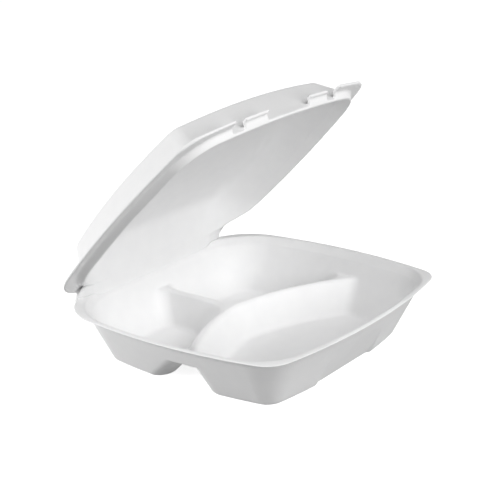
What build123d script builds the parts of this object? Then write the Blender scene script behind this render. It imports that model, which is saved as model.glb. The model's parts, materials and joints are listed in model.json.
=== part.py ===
"""Hinged take-out container of white foam: a three-compartment tray and its lid, held part open."""
import os
from math import cos, hypot, radians, sqrt, tan

from build123d import *

# Overall sizes, in millimetres: X runs along the hinge, the front faces -Y
width = 229
depth = 225
base_height = 45.5
sheet = 2.6
overrun = 5

# Plan outline of both flanges: bowed sides and front, straight hinge edge
side_bow_back = 12.5
side_bow_front = 13
front_bow = 12.5
flange_front_corner = 22
flange_back_corner = 50
flange_edge_cut = 0.6

# Tray rim: a flat band, then a bevel down to the wall
flange_width = 9.5
rim_band = 4.2
rim_drop = 5
bevel_draft = 45
catch_length = 96
catch_inset = 1.3
catch_width = 1.7
catch_rise = 1.8
catch_taper = 12

# Tray wall and its three pods
wall_draft = 28.5
tub_corner = 33
tub_back_corner = 52
foot_corner = 11
foot_back_corner = 13
foot_round = 5.5
floor_round = 5

# Dividers: hollow ridges, one straight and two arms that curve away from its end
ridge_height = 29
ridge_width = 5
crest_inset = 1.5
crest_drop = 1.8
divider_draft = 22
rear_draft = 38
divider_radius = 195
divider_arc_shift = 31
junction_share = 0.4
junction_corner = 18
apex_foot_corner = 6
apex_crest_corner = 40
pod_corner = 10

# Shallow panel pressed into the front wall
panel_width = 66
panel_depth = 4.5
panel_height = 33
panel_flare = 5
panel_reach = 12

# Lid: thin flange, plug edge that dips into the tray, and a crowned dome
closing_gap = 0.3
lid_flange = 2.4
plug_inset = 6.6
plug_depth = 5
plug_draft = 32
plug_tip = 1.4
plug_corner = 37
plug_back_corner = 58
plug_fade_start = 8
plug_fade_end = 56
dome_draft = 37
dome_rise = 28
crown_radius = 1500
dome_corner = 31
dome_back_corner = 52
dome_top_corner = 16
dome_top_back_corner = 10
dome_edge_round = 7

# Latch at the lid's front: two tabs left between gaps in the plug edge
tab_near = 24
tab_far = 47
gap_far = 59
tab_trim = 3.8

# Living hinge: a thin bead on the axis, below the rim where both flanges dip
hinge_length = 160
hinge_drop = 3.8
hinge_bead_radius = 0.9
hinge_clearance = 0.08
hinge_edge_gap = 0.35
hinge_end_gap = 0.6
open_angle = 43.3
quarter_turn = 90

# Places that follow from the sizes
hinge_y = depth / 2
front_y = -depth / 2
rim_z = base_height
ledge_z = rim_z - rim_drop
hinge_z = rim_z - hinge_drop
groove_z = ridge_height - sheet
lid_z = rim_z + closing_gap
plug_z = rim_z - plug_depth
dome_foot_z = plug_z + sheet
dome_top_z = lid_z + dome_rise
gap_middle = (tab_far + gap_far) / 2
junction_from_hinge = depth * junction_share
divider_y = hinge_y - junction_from_hinge - sqrt(divider_radius**2 - divider_arc_shift**2)
hinge_axis = Axis((0, hinge_y, hinge_z), (1, 0, 0))


def run(height, draft):
    """Level travel of a face that rises through a height at a draft."""
    return height * tan(radians(draft))


def across(draft):
    """Level width of the sheet where it stands at a draft."""
    return sheet / cos(radians(draft))


def outline(level, inset, front_radius=0, back_radius=0):
    """The bowed plan outline, moved inwards by an inset, with its corners rounded or left sharp."""
    back_half = width / 2 - side_bow_back
    front_half = width / 2 - side_bow_front
    shoulder_y = front_y + front_bow
    with BuildSketch(Plane.XY.offset(level), mode=Mode.PRIVATE) as plan:
        with BuildLine():
            Line((-back_half, hinge_y), (back_half, hinge_y))
            ThreePointArc((back_half, hinge_y), (width / 2, 0), (front_half, shoulder_y))
            ThreePointArc((front_half, shoulder_y), (0, front_y), (-front_half, shoulder_y))
            ThreePointArc((-front_half, shoulder_y), (-width / 2, 0), (-back_half, hinge_y))
        make_face()
        if inset > 0:
            offset(amount=-inset, kind=Kind.INTERSECTION, mode=Mode.REPLACE)
        if front_radius > 0:
            fillet(plan.vertices().group_by(Axis.Y)[0], radius=front_radius)
            fillet(plan.vertices().group_by(Axis.Y)[-1], radius=back_radius)
    return plan.sketch


def bevel(level, skin):
    """Plan of the rim's bevel: its inside face, or its outside face with the sheet as skin."""
    inset = rim_band + run(rim_z - level, bevel_draft) - (across(bevel_draft) if skin else 0)
    spread = flange_width - inset
    return outline(level, inset, tub_corner + spread, tub_back_corner + spread)


def wall_inset(level, skin):
    """Inset of the tray wall at a height: its inside face, or its outside face with the sheet as skin."""
    return flange_width + run(ledge_z - level, wall_draft) - (across(wall_draft) if skin else 0)


def wall_corners(level, skin):
    """Front and back corner radii of the tray wall, which tighten from the rim down to the foot."""
    rise_share = level / ledge_z
    swell = sheet if skin else 0
    front = foot_corner + (tub_corner - foot_corner) * rise_share + swell
    back = foot_back_corner + (tub_back_corner - foot_back_corner) * rise_share + swell
    return front, back


def tub(level, skin):
    """Plan of the tray wall at a height."""
    return outline(level, wall_inset(level, skin), *wall_corners(level, skin))


def divider_edge(radius):
    """Space in front of the curved divider's arms: two shifted arcs that meet at an apex."""
    with BuildSketch(mode=Mode.PRIVATE) as plan:
        with Locations((divider_arc_shift, divider_y)):
            Circle(radius)
        with Locations((-divider_arc_shift, divider_y)):
            Circle(radius, mode=Mode.INTERSECT)
    return plan.sketch


def pods(level, skin, crest_trim=0):
    """Plans of the three pods at a height: the tray wall's plan with the dividers taken out."""
    half = ridge_width / 2 + run(ridge_height - level, divider_draft) - crest_trim
    half -= across(divider_draft) if skin else 0
    rear_half = ridge_width / 2 + run(ridge_height - level, rear_draft) - crest_trim
    rear_half -= across(rear_draft) if skin else 0
    front_corner, back_corner = wall_corners(level, skin)
    apex_corner = apex_foot_corner + (apex_crest_corner - apex_foot_corner) * level / ridge_height
    swell = sheet if skin else 0
    with BuildSketch(Plane.XY.offset(level), mode=Mode.PRIVATE) as plan:
        add(outline(0, wall_inset(level, skin)))
        with BuildSketch(mode=Mode.PRIVATE) as band:
            add(divider_edge(divider_radius + rear_half))
            add(divider_edge(divider_radius - half), mode=Mode.SUBTRACT)
            with Locations((0, hinge_y - junction_from_hinge / 2)):
                Rectangle(2 * half, junction_from_hinge)
        add(band.sketch, mode=Mode.SUBTRACT)
        rows = plan.vertices().group_by(Axis.Y)
        front_row, side_row, rear_row, junction_row = [row for row in rows if len(row) == 2]
        apex_row = [row for row in rows if len(row) == 1][0]
        back_row = rows[-1].sort_by(Axis.X)
        spots = [(spot, front_corner) for spot in front_row]
        spots += [(spot, back_corner) for spot in (back_row[0], back_row[3])]
        spots += [(spot, pod_corner + swell) for spot in side_row + rear_row + back_row[1:3]]
        wall_room = back_row[0].Y - junction_row[0].Y - pod_corner - swell
        spots += [(spot, min(junction_corner + swell, wall_room)) for spot in junction_row]
        spots += [(spot, apex_corner + swell) for spot in apex_row]
        for spot, radius in spots:
            fillet(plan.vertices().sort_by_distance(spot)[0], radius=radius)
    return plan.sketch


def panel_block(skin):
    """Block that presses the front panel: its back face leans from the foot out to the wall's face."""
    foot_y = front_y + wall_inset(0, True) + panel_depth
    head_y = front_y + wall_inset(panel_height, True)
    face = Plane(origin=(0, foot_y, 0), x_dir=(1, 0, 0), z_dir=(0, -panel_height, head_y - foot_y))
    rise = hypot(panel_height, foot_y - head_y)
    with BuildPart(mode=Mode.PRIVATE) as block:
        with BuildSketch(face.offset(-skin)):
            with Locations((0, (rise - overrun) / 2)):
                Rectangle(panel_width + 2 * skin, rise + overrun)
        with BuildSketch(face.offset(panel_reach)):
            with Locations((0, (rise - overrun) / 2)):
                Rectangle(panel_width + 2 * skin + 2 * panel_flare, rise + overrun)
        loft()
    return block.part


def plug_plan(level, skin):
    """Plan of the plug edge: its outside face, or its inside face with the sheet as skin."""
    inset = plug_inset + run(lid_z - level, plug_draft) + (across(plug_draft) if skin else 0)
    spread = plug_inset - inset
    return outline(level, inset, plug_corner + spread, plug_back_corner + spread)


def dome_plan(level, skin):
    """Plan of the dome: its inside face, or its outside face with the sheet as skin."""
    foot_inset = plug_inset + run(lid_z - plug_z, plug_draft) + plug_tip
    inset = foot_inset + run(level - plug_z, dome_draft) - (across(dome_draft) if skin else 0)
    rise_share = (level - plug_z) / (dome_top_z - plug_z)
    swell = sheet if skin else 0
    front = dome_corner + (dome_top_corner - dome_corner) * rise_share + swell
    back = dome_back_corner + (dome_top_back_corner - dome_back_corner) * rise_share + swell
    return outline(level, inset, front, back)


def hinge_strip(length, *profile):
    """A bar along the hinge with the given section in depth and height."""
    with BuildPart(mode=Mode.PRIVATE) as piece:
        with BuildSketch(Plane.YZ):
            with BuildLine():
                Polyline(*profile, close=True)
            make_face()
        extrude(amount=length / 2, both=True)
    return piece.part


def plug_fade(lift):
    """The space under a slope that rises towards the hinge, which the plug edge keeps out of."""
    fade_start_y = hinge_y - plug_fade_start
    fade_end_y = hinge_y - plug_fade_end
    return hinge_strip(
        width,
        (hinge_y + overrun, lid_z + lift),
        (fade_start_y, lid_z + lift),
        (fade_end_y, plug_z + lift - sheet),
        (fade_end_y, plug_z - sheet - overrun),
        (hinge_y + overrun, plug_z - sheet - overrun),
    )


# Room inside the tray, from the rim down to the three floors
with BuildPart() as tray_room:
    loft([bevel(rim_z + overrun / 2, False), bevel(ledge_z, False)])
    loft([tub(ledge_z, False), tub(ridge_height, False)])
    shoulder_z = ridge_height - crest_drop
    pod_plans = [pods(ridge_height, False, crest_inset), pods(shoulder_z, False), pods(sheet, False)]
    for top, shoulder, floor in zip(*[plan.faces().sort_by(Axis.X) for plan in pod_plans]):
        loft([top, shoulder, floor], ruled=True)
    fillet(tray_room.edges().group_by(Axis.Z)[0], radius=floor_round)
    add(panel_block(sheet), mode=Mode.SUBTRACT)

# Tray: flange, wall and three pods, less the room inside
dip_y = hinge_y - rim_band - run(hinge_drop, bevel_draft)
with BuildPart() as base_tray:
    extrude(outline(rim_z - sheet, 0, flange_front_corner, flange_back_corner), amount=sheet)
    rim_edges = base_tray.edges().group_by(Axis.Z)
    chamfer(rim_edges[0] + rim_edges[-1], length=flange_edge_cut)
    loft([bevel(rim_z - sheet, True), bevel(ledge_z, True)])
    loft([tub(ledge_z, True), tub(groove_z, True)])
    for top, foot in zip(*[plan.faces().sort_by(Axis.X) for plan in (pods(groove_z, True), pods(0, True))]):
        loft([top, foot])
    fillet(base_tray.edges().group_by(Axis.Z)[0], radius=foot_round)
    add(panel_block(0), mode=Mode.SUBTRACT)
    # Raised catch along the front of the flange
    with BuildSketch(Plane.XY.offset(rim_z)):
        add(outline(0, catch_inset))
        add(outline(0, catch_inset + catch_width), mode=Mode.SUBTRACT)
        with Locations((0, front_y)):
            Rectangle(catch_length, 2 * rim_band, mode=Mode.INTERSECT)
    extrude(amount=catch_rise, taper=catch_taper)
    # The back of the flange dips to the hinge, with the bead along its edge
    add(
        hinge_strip(
            hinge_length,
            (dip_y, hinge_z),
            (dip_y, rim_z + overrun),
            (hinge_y + overrun, rim_z + overrun),
            (hinge_y + overrun, hinge_z),
        ),
        mode=Mode.SUBTRACT,
    )
    add(
        hinge_strip(
            hinge_length,
            (dip_y, hinge_z),
            (hinge_y, hinge_z),
            (hinge_y, hinge_z - sheet),
            (dip_y, hinge_z - sheet),
        )
    )
    with Locations((0, hinge_y, hinge_z)):
        Cylinder(hinge_bead_radius, hinge_length, rotation=(0, quarter_turn, 0))
    add(tray_room.part, mode=Mode.SUBTRACT)

# Dome of the lid in its closed place: drafted sides under a gently crowned top
with BuildPart() as dome:
    loft([dome_plan(dome_foot_z, True), dome_plan(dome_top_z, True)])
    with Locations((0, 0, dome_top_z - crown_radius)):
        Sphere(crown_radius, rotation=(quarter_turn, 0, 0), mode=Mode.INTERSECT)
    fillet(dome.faces().filter_by(GeomType.SPHERE).edges(), radius=dome_edge_round)

with BuildPart() as dome_room:
    loft([dome_plan(plug_z - overrun, False), dome_plan(dome_top_z, False)])
    with Locations((0, 0, dome_top_z - crown_radius)):
        Sphere(crown_radius - sheet, rotation=(quarter_turn, 0, 0), mode=Mode.INTERSECT)
    fillet(dome_room.faces().filter_by(GeomType.SPHERE).edges(), radius=dome_edge_round - sheet)

# Plug edge along the sides and the front, fading out towards the hinge
with BuildPart() as plug:
    loft([plug_plan(lid_z, False), plug_plan(plug_z, False)])
    add(plug_fade(0), mode=Mode.SUBTRACT)

with BuildPart() as plug_groove:
    loft([plug_plan(lid_z + lid_flange + overrun, True), plug_plan(dome_foot_z, True)])
    add(plug_fade(across(plug_draft)), mode=Mode.SUBTRACT)

# Everything outside the dome's face at the front, where the latch gaps open
with BuildPart() as latch_gaps:
    with BuildSketch(Plane.XY.offset(plug_z - overrun)):
        with Locations((0, front_y)):
            Rectangle(2 * tab_near, depth / 2)
        with Locations((gap_middle, front_y), (-gap_middle, front_y)):
            Rectangle(gap_far - tab_far, depth / 2)
    extrude(amount=base_height)
    loft([dome_plan(plug_z - overrun, True), dome_plan(dome_top_z, True)], mode=Mode.SUBTRACT)

# Lid in its closed place: flange, plug edge and dome, with the latch and the hinge strip
with BuildPart() as closed_lid:
    extrude(outline(lid_z, 0, flange_front_corner, flange_back_corner), amount=lid_flange)
    lid_edges = closed_lid.edges().group_by(Axis.Z)
    chamfer(lid_edges[0] + lid_edges[-1], length=flange_edge_cut)
    add(plug.part)
    add(plug_groove.part, mode=Mode.SUBTRACT)
    add(dome.part)
    add(dome_room.part, mode=Mode.SUBTRACT)
    add(latch_gaps.part, mode=Mode.SUBTRACT)
    with BuildSketch(Plane.XY.offset(lid_z)):
        with Locations((0, front_y)):
            Rectangle(2 * tab_far, depth / 2)
        add(outline(0, tab_trim), mode=Mode.SUBTRACT)
    extrude(amount=lid_flange, mode=Mode.SUBTRACT)
    # The flange slopes down to the hinge, hollowed to sit round the bead
    strip_length = hinge_length - 2 * hinge_end_gap
    add(
        hinge_strip(
            strip_length,
            (dip_y, lid_z + lid_flange),
            (dip_y, lid_z + lid_flange + overrun),
            (hinge_y + overrun, lid_z + lid_flange + overrun),
            (hinge_y, hinge_z + closing_gap + lid_flange),
        ),
        mode=Mode.SUBTRACT,
    )
    add(
        hinge_strip(
            strip_length,
            (dip_y, lid_z + lid_flange),
            (hinge_y, hinge_z + closing_gap + lid_flange),
            (hinge_y, hinge_z + closing_gap),
            (dip_y, lid_z),
        )
    )
    with Locations((0, hinge_y - hinge_edge_gap + overrun / 2, hinge_z)):
        Box(width, overrun, 2 * base_height, mode=Mode.SUBTRACT)
    with Locations((0, hinge_y, hinge_z)):
        seat_radius = hinge_bead_radius + hinge_clearance
        Cylinder(seat_radius, width, rotation=(0, quarter_turn, 0), mode=Mode.SUBTRACT)

# The lid as it stands, turned open about the hinge
with BuildPart() as lid:
    add(closed_lid.part.rotate(hinge_axis, -open_angle))

os.makedirs("parts", exist_ok=True)
base_tray.part.label = "base_tray"
export_step(base_tray.part, "parts/base_tray.step")
lid.part.label = "lid"
export_step(lid.part, "parts/lid.step")
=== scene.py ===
"""Looks of the hinged foam container: soft moulded foam over the solids, studio light and camera."""
import json
from math import cos, pi, radians, sin, sqrt

import bpy
import numpy as np
from mathutils import Matrix, Vector
from mathutils.bvhtree import BVHTree
from mathutils.kdtree import KDTree


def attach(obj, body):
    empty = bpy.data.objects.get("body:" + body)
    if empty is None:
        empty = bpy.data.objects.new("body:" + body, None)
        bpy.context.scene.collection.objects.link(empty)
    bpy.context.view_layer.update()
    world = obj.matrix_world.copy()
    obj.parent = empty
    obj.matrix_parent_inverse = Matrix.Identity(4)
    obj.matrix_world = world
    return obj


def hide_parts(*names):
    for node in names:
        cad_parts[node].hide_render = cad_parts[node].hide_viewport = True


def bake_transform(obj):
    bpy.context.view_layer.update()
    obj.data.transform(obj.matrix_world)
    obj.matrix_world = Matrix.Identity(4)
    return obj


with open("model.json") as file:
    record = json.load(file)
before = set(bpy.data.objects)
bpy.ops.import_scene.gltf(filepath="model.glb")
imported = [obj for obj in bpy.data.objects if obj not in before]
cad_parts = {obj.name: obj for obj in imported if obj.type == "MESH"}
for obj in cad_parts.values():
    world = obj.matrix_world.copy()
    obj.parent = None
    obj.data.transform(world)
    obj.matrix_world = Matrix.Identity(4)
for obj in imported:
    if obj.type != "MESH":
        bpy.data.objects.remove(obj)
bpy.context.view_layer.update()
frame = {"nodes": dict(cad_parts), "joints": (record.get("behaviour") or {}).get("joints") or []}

# Hinge of the lid, which stands open at rest, and the closed lid's height. Lengths are in metres
HINGE = frame["joints"][0]
HINGE_SPOT = Vector(HINGE["pos_m"])
REST_OPENING = radians(-HINGE["range_deg"][0])
LID_LEVEL = 0.0458

# Camera of the photo: angles in degrees, focal length in pixels of the image
AZIMUTH = -49.4
ELEVATION = 19.6
ROLL = -3.5
DISTANCE = 0.951
TARGET = Vector((0.0015, 0.0025, 0.0776))
FOCAL_PIXELS = 1253.6
IMAGE_PIXELS = 500
SENSOR = 36
CLIP_END = 50

# Foam skin: voxel size of the remesh, strength and passes of its smoothing, and triangles kept
VOXEL = 0.0008
SMOOTH_FACTOR = 0.5
SMOOTH_PASSES = 3
TRIANGLES = 170000

# Edge of the tray's flange: its heights, how steep its points are, how far in it thins and by what share
EDGE_LEVELS = (0.0424, 0.0455)
EDGE_STEEP = 0.35
EDGE_REACH = 0.0045
EDGE_TAPER_SHARE = 0.6

# Share of its height that the catch on the flange keeps
CATCH_SHARE = 0.35

# Front corners of the closed lid's dome: height, place across and along, and radius, low and high
CORNER_LOW = (LID_LEVEL, 0.0650, -0.0636, 0.0312)
CORNER_HIGH = (0.0738, 0.0577, -0.0562, 0.0186)

# Their smaller radius, the angle from their middle that it changes, and where the change fades in
CORNER_MIDDLE = radians(45)
CORNER_HALF = radians(35)
CORNER_CRISP = 0.009
CORNER_FADE = (0.0475, 0.0505)
CORNER_REACH_SHARES = (0.45, 0.8)

# Fuller dome: heights where the growth starts and is full, and the growth to each side and to the front
DOME_RISE = (0.0482, 0.0738)
DOME_HALF = 0.080
DOME_SIDE = 0.006
DOME_FRONT = 0.0025
DOME_FRONT_FADE = (-0.05, 0.03)

# Soft turn inside the dome, from its wall into its crown: heights where it starts and is full
TURN_FADE = (0.054, 0.064)
TURN_PASSES = 300

# Web of the hinge: half its length, and half the length at which its ends start to round off
WEB_HALF = 0.0836
WEB_STRAIGHT = 0.0762

# Its front face: where it leaves the tray, the pull of its curve there, and where it follows the lid alone
WEB_TRAY = Vector((0, 0.1044, 0.0411))
WEB_TRAY_PULL = Vector((0, 0.0012, 0.0030))

# Where that face meets the lid's wall: its height, how far it sinks in, and the height and lean of the pull
WEB_TOP = 0.058
WEB_SUNK = 0.00025
WEB_LEAN_TOP = 0.0515
WEB_LEAN = 0.0013

# Depth from which the lid's wall is looked for
WEB_LOOK = 0.06

# Core at the hinge, the rear face's share of the way from it, and how far the ends draw in, less at the lid
WEB_CORE = Vector((0, 0.1114, 0.0423))
WEB_CORE_SHARE = 0.12
WEB_END_SHARE = 0.62
WEB_END_LEAN = 0.7

# Steps up the web's face, and slices along it
WEB_STEPS = 24
WEB_SLICES = 60

# Foam's look: a faint mottling of its density between two whites, and fine cells that dent its skin
MOTTLE_SCALE = 90
MOTTLE_DETAIL = 4
MOTTLE_SPREAD = (0.3, 0.7)
MOTTLE_TONES = ((0.875, 0.875, 0.878, 1), (0.895, 0.895, 0.895, 1))
CELL_SCALE = 900
CELL_STRENGTH = 0.12
CELL_DEPTH = 0.0002
FOAM_ROUGHNESS = 0.6
FOAM_SPECULAR = 0.35

# Floor and surroundings: both are seen as white, and light the object less than that
WHITE = (1, 1, 1, 1)
FLOOR_HALF = 8
FLOOR_TONE = 0.28
FLOOR_ROUGHNESS = 0.9
SEEN_WHITE = 0.84
WORLD_LIGHT = 0.1

# Soft lamps: their distance, and each one's direction from the object, width, height and watts
LAMP_DISTANCE = 1.6
LAMPS = {
    "front_low_light": ((-0.28, -0.93, 0.24), 1, 0.5, 9.1),
    "front_high_light": ((0, -0.72, 0.68), 1, 1, 15.6),
    "back_left_light": ((-0.7, 0.7, 0.22), 1, 0.5, 20),
}


def added(name, data):
    """A new object in the scene."""
    piece = bpy.data.objects.new(name, data)
    bpy.context.scene.collection.objects.link(piece)
    return piece


def applied(piece):
    """Replace a piece's mesh by what its modifiers make of it."""
    graph = bpy.context.evaluated_depsgraph_get()
    mesh = bpy.data.meshes.new_from_object(piece.evaluated_get(graph))
    piece.modifiers.clear()
    piece.data = mesh


def smooth(piece, passes, group=""):
    """Round a dense mesh's creases, all over or by a group's weights."""
    soften = piece.modifiers.new("soften", "SMOOTH")
    soften.factor = SMOOTH_FACTOR
    soften.iterations = passes
    soften.vertex_group = group
    applied(piece)


def shade_smooth(mesh):
    """Shade all faces as one smooth surface."""
    mesh.polygons.foreach_set("use_smooth", [True] * len(mesh.polygons))


def fade(value, low, high):
    """A smooth step from 0 at low to 1 at high."""
    share = np.clip((value - low) / (high - low), 0, 1)
    return share * share * (3 - 2 * share)


def points(mesh, what):
    """A mesh's points or normals as rows of numbers."""
    rows = np.empty(len(mesh.vertices) * 3, dtype=np.float32)
    mesh.vertices.foreach_get(what, rows)
    return rows.reshape(-1, 3).astype(np.float64)


def move_points(mesh, spots):
    """Put a mesh's points where the rows say."""
    mesh.vertices.foreach_set("co", spots.astype(np.float32).ravel())
    mesh.update()


def thin_edge(piece):
    """Thin the tray's flange from below towards its edge, and lower the catch on it."""
    spots = points(piece.data, "co")
    ways = points(piece.data, "normal")
    level = (spots[:, 2] > EDGE_LEVELS[0]) & (spots[:, 2] < EDGE_LEVELS[1])
    outward = (spots[:, :2] * ways[:, :2]).sum(1) > 0
    edge = np.nonzero(level & outward & (np.abs(ways[:, 2]) < EDGE_STEEP))[0].tolist()
    tree = KDTree(len(edge))
    for index in edge:
        tree.insert((spots[index, 0], spots[index, 1], 0), index)
    tree.balance()
    for index in np.nonzero(level)[0].tolist():
        away = tree.find((spots[index, 0], spots[index, 1], 0))[2]
        near = fade(EDGE_REACH - away, 0, EDGE_REACH)
        spots[index, 2] += (EDGE_LEVELS[1] - spots[index, 2]) * EDGE_TAPER_SHARE * near
    above = np.maximum(spots[:, 2] - EDGE_LEVELS[1], 0)
    spots[:, 2] -= above * (1 - CATCH_SHARE)
    move_points(piece.data, spots)


def crisp_corners(piece):
    """Draw the dome's two front corners out to a smaller radius."""
    spots = points(piece.data, "co")
    rise = (spots[:, 2] - CORNER_LOW[0]) / (CORNER_HIGH[0] - CORNER_LOW[0])
    across, along, radius = [
        low + (high - low) * rise for low, high in zip(CORNER_LOW[1:], CORNER_HIGH[1:])
    ]
    out_x = np.abs(spots[:, 0]) - across
    out_y = along - spots[:, 1]
    reach = np.hypot(out_x, out_y)
    angle = np.abs(np.arctan2(out_y, out_x) - CORNER_MIDDLE)
    shift = np.maximum(radius - CORNER_CRISP, 0) / cos(CORNER_HALF)
    touch = np.arctan2(CORNER_CRISP * sin(CORNER_HALF), shift + CORNER_CRISP * cos(CORNER_HALF))
    depth = np.maximum(CORNER_CRISP**2 - (shift * np.sin(angle)) ** 2, 0)
    arc = shift * np.cos(angle) + np.sqrt(depth)
    line = radius / np.cos(np.minimum(CORNER_HALF - angle, CORNER_HALF))
    grown = np.where(angle <= touch, arc, line) / radius - 1
    weight = fade(spots[:, 2], *CORNER_FADE) * fade(reach / radius, *CORNER_REACH_SHARES)
    grown = np.where(angle < CORNER_HALF, grown * weight, 0)
    spots[:, 0] += np.sign(spots[:, 0]) * out_x * grown
    spots[:, 1] -= out_y * grown
    move_points(piece.data, spots)


def fuller_dome(piece):
    """Stand the dome's sides and front a little steeper."""
    spots = points(piece.data, "co")
    rise = np.clip((spots[:, 2] - DOME_RISE[0]) / (DOME_RISE[1] - DOME_RISE[0]), 0, None)
    spots[:, 0] *= 1 + rise * DOME_SIDE / DOME_HALF
    spots[:, 1] -= DOME_FRONT * rise * fade(-spots[:, 1], *DOME_FRONT_FADE)
    move_points(piece.data, spots)


def soft_turn(piece):
    """Ease the turn from wall to crown on the dome's inside."""
    spots = points(piece.data, "co")
    ways = points(piece.data, "normal")
    middle = np.array((0, 0, LID_LEVEL))
    inside = ((spots - middle) * ways).sum(1) < 0
    weights = np.where(inside, fade(spots[:, 2], *TURN_FADE), 0)
    group = piece.vertex_groups.new(name="turn")
    for index in np.nonzero(weights)[0].tolist():
        group.add([index], weights[index], "REPLACE")
    smooth(piece, TURN_PASSES, group.name)
    piece.vertex_groups.clear()


def foam_skin(name, node, closing, *steps):
    """A soft skin over a solid, made where the solid is when closed, so its faces lie along the voxels."""
    mesh = frame["nodes"][node].data.copy()
    mesh.materials.clear()
    mesh.transform(closing)
    piece = added(name, mesh)
    remesh = piece.modifiers.new("remesh", "REMESH")
    remesh.mode = "VOXEL"
    remesh.voxel_size = VOXEL
    applied(piece)
    smooth(piece, SMOOTH_PASSES)
    for step in steps:
        step(piece)
    quads = len(piece.data.polygons)
    thin = piece.modifiers.new("thin", "DECIMATE")
    thin.ratio = min(1, TRIANGLES / (2 * quads))
    applied(piece)
    piece.data.transform(closing.inverted())
    shade_smooth(piece.data)
    return piece


def lid_wall(lid_tree, x, z):
    """How far back the lid's inside wall lies."""
    return lid_tree.ray_cast(Vector((x, WEB_LOOK, z)), Vector((0, 1, 0)))[0].y


def web_point(lid_tree, x, share):
    """A point of the web's front face, from the tray at 0 to the lid at 1."""
    rest = 1 - share
    a = WEB_TRAY
    b = WEB_TRAY + WEB_TRAY_PULL
    c = Vector((0, lid_wall(lid_tree, x, WEB_LEAN_TOP + WEB_LEAN) - WEB_LEAN, WEB_LEAN_TOP))
    d = Vector((0, lid_wall(lid_tree, x, WEB_TOP) + WEB_SUNK, WEB_TOP))
    return a * rest**3 + b * 3 * share * rest**2 + c * 3 * share * share * rest + d * share**3


def web_ring(lid_tree, x):
    """The web's outline at one place along it: up its front face and down its rear."""
    wall_x = min(max(x, -WEB_STRAIGHT), WEB_STRAIGHT)
    beyond = min(abs(x - wall_x) / (WEB_HALF - WEB_STRAIGHT), 1)
    drawn_in = WEB_END_SHARE * (1 - sqrt(1 - beyond**2))
    along = Vector((x, 0, 0))
    front = []
    rear = []
    for step in range(WEB_STEPS + 1):
        share = step / WEB_STEPS
        spot = web_point(lid_tree, wall_x, share)
        pulled = drawn_in * (1 - WEB_END_LEAN * share)
        front.append(spot.lerp(WEB_CORE, pulled) + along)
        rear.append(WEB_CORE.lerp(spot, WEB_CORE_SHARE * (1 - drawn_in)) + along)
    return front + rear[::-1]


def hinge_web(lid_tree):
    """A closed strip that narrows back to the hinge, with rounded ends and closer slices there."""
    spots = []
    for k in range(WEB_SLICES + 1):
        x = -WEB_HALF * cos(pi * k / WEB_SLICES)
        spots.extend(web_ring(lid_tree, x))
    half = WEB_STEPS + 1
    ring = 2 * half
    faces = []
    for start in range(0, WEB_SLICES * ring, ring):
        for i in range(ring):
            j = (i + 1) % ring
            faces.append((start + i, start + ring + i, start + ring + j, start + j))
    for start in (0, WEB_SLICES * ring):
        for i in range(half - 1):
            cap = (start + i, start + ring - 1 - i, start + ring - 2 - i, start + i + 1)
            faces.append(cap[::-1] if start == 0 else cap)
    mesh = bpy.data.meshes.new("hinge_web")
    mesh.from_pydata(spots, [], faces)
    shade_smooth(mesh)
    mesh.update()
    return added("hinge_web", mesh)


def shader(name):
    """A new material with its node tree and main shader."""
    material = bpy.data.materials.new(name)
    material.use_nodes = True
    tree = material.node_tree
    return material, tree, tree.nodes["Principled BSDF"]


def foam_material():
    """White moulded foam: a smooth skin with fine cells and a faint mottling of its density."""
    material, tree, main = shader("foam")
    nodes = tree.nodes
    links = tree.links
    place = nodes.new("ShaderNodeTexCoord")
    mottle = nodes.new("ShaderNodeTexNoise")
    mottle.inputs["Scale"].default_value = MOTTLE_SCALE
    mottle.inputs["Detail"].default_value = MOTTLE_DETAIL
    links.new(place.outputs["Object"], mottle.inputs["Vector"])
    tint = nodes.new("ShaderNodeValToRGB")
    for stop, position, tone in zip(tint.color_ramp.elements, MOTTLE_SPREAD, MOTTLE_TONES):
        stop.position = position
        stop.color = tone
    links.new(mottle.outputs["Fac"], tint.inputs["Fac"])
    links.new(tint.outputs["Color"], main.inputs["Base Color"])
    cells = nodes.new("ShaderNodeTexVoronoi")
    cells.inputs["Scale"].default_value = CELL_SCALE
    links.new(place.outputs["Object"], cells.inputs["Vector"])
    dent = nodes.new("ShaderNodeBump")
    dent.inputs["Strength"].default_value = CELL_STRENGTH
    dent.inputs["Distance"].default_value = CELL_DEPTH
    links.new(cells.outputs["Distance"], dent.inputs["Height"])
    links.new(dent.outputs["Normal"], main.inputs["Normal"])
    main.inputs["Roughness"].default_value = FOAM_ROUGHNESS
    main.inputs["Specular IOR Level"].default_value = FOAM_SPECULAR
    return material


def seen_or_not(tree, unseen, shown):
    """An output that is shown for what is seen, also in gloss, and unseen for the light on the object."""
    path = tree.nodes.new("ShaderNodeLightPath")
    seen = path.outputs["Is Camera Ray"]
    for ray in ("Is Glossy Ray", "Is Transmission Ray"):
        either = tree.nodes.new("ShaderNodeMath")
        either.operation = "MAXIMUM"
        tree.links.new(seen, either.inputs[0])
        tree.links.new(path.outputs[ray], either.inputs[1])
        seen = either.outputs["Value"]
    level = tree.nodes.new("ShaderNodeMapRange")
    level.inputs["To Min"].default_value = unseen
    level.inputs["To Max"].default_value = shown
    tree.links.new(seen, level.inputs["Value"])
    return level.outputs["Result"]


def softbox(name, toward, width, height, watts):
    """A soft lamp in a direction from the object, facing it."""
    data = bpy.data.lights.new(name, "AREA")
    data.shape = "RECTANGLE"
    data.size = width
    data.size_y = height
    data.energy = watts
    lamp = added(name, data)
    way = Vector(toward).normalized()
    lamp.location = TARGET + way * LAMP_DISTANCE
    lamp.rotation_euler = way.to_track_quat("Z", "Y").to_euler()
    lamp.visible_camera = False


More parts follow.
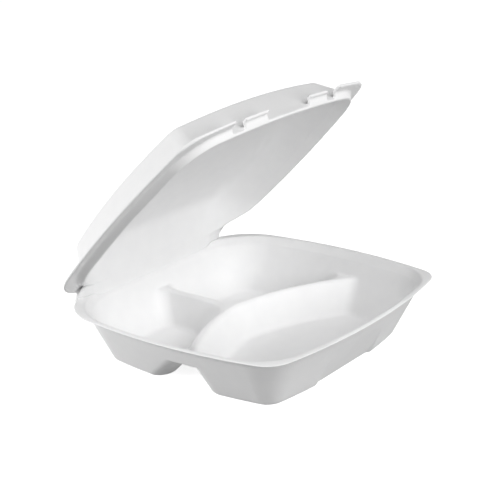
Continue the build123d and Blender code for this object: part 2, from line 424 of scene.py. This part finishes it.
# The two skins
foam = foam_material()
turn = Matrix.Rotation(REST_OPENING, 4, "X")
closed = Matrix.Translation(HINGE_SPOT) @ turn @ Matrix.Translation(-HINGE_SPOT)
tray_foam = foam_skin("tray_foam", "base_tray", Matrix.Identity(4), thin_edge)
lid_foam = foam_skin("lid_foam", "lid", closed, crisp_corners, fuller_dome, soft_turn)
for piece, body, node in ((tray_foam, "tray", "base_tray"), (lid_foam, "cover", "lid")):
    piece.data.materials.append(foam)
    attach(piece, body)
    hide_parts(node)

# The web that joins them across the hinge
web = hinge_web(BVHTree.FromObject(lid_foam, bpy.context.evaluated_depsgraph_get()))
web.data.materials.append(foam)
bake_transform(web)

# Floor, which keeps the object's shadow
floor_mesh = bpy.data.meshes.new("floor")
corners = [(x * FLOOR_HALF, y * FLOOR_HALF, 0) for x, y in ((-1, -1), (1, -1), (1, 1), (-1, 1))]
floor_mesh.from_pydata(corners, [], [(0, 1, 2, 3)])
floor = added("floor", floor_mesh)
floor_material, tree, main = shader("floor")
floor_material.cycles.emission_sampling = "NONE"
main.inputs["Roughness"].default_value = FLOOR_ROUGHNESS
main.inputs["Specular IOR Level"].default_value = 0
main.inputs["Emission Color"].default_value = WHITE
tree.links.new(seen_or_not(tree, FLOOR_TONE, 1), main.inputs["Base Color"])
tree.links.new(seen_or_not(tree, 0, SEEN_WHITE), main.inputs["Emission Strength"])
floor_mesh.materials.append(floor_material)

# Soft even light all round
world = bpy.data.worlds.new("studio")
bpy.context.scene.world = world
world.use_nodes = True
sky = world.node_tree.nodes["Background"]
sky.inputs["Color"].default_value = WHITE
world.node_tree.links.new(seen_or_not(world.node_tree, WORLD_LIGHT, 1), sky.inputs["Strength"])

for name, (toward, width, height, watts) in LAMPS.items():
    softbox(name, toward, width, height, watts)

# Camera
azimuth, elevation, roll = radians(AZIMUTH), radians(ELEVATION), radians(ROLL)
back = Vector((sin(azimuth) * cos(elevation), -cos(azimuth) * cos(elevation), sin(elevation)))
right = (-back).cross(Vector((0, 0, 1))).normalized()
up = right.cross(-back)
right_rolled = right * cos(roll) + up * sin(roll)
up_rolled = up * cos(roll) - right * sin(roll)
camera_data = bpy.data.cameras.new("camera")
camera_data.sensor_width = SENSOR
camera_data.lens = FOCAL_PIXELS * SENSOR / IMAGE_PIXELS
camera_data.clip_end = CLIP_END
camera = added("camera", camera_data)
pose = Matrix((right_rolled, up_rolled, back)).transposed().to_4x4()
camera.matrix_world = Matrix.Translation(TARGET + back * DISTANCE) @ pose
bpy.context.scene.camera = camera
bpy.context.scene.view_settings.view_transform = "Standard"
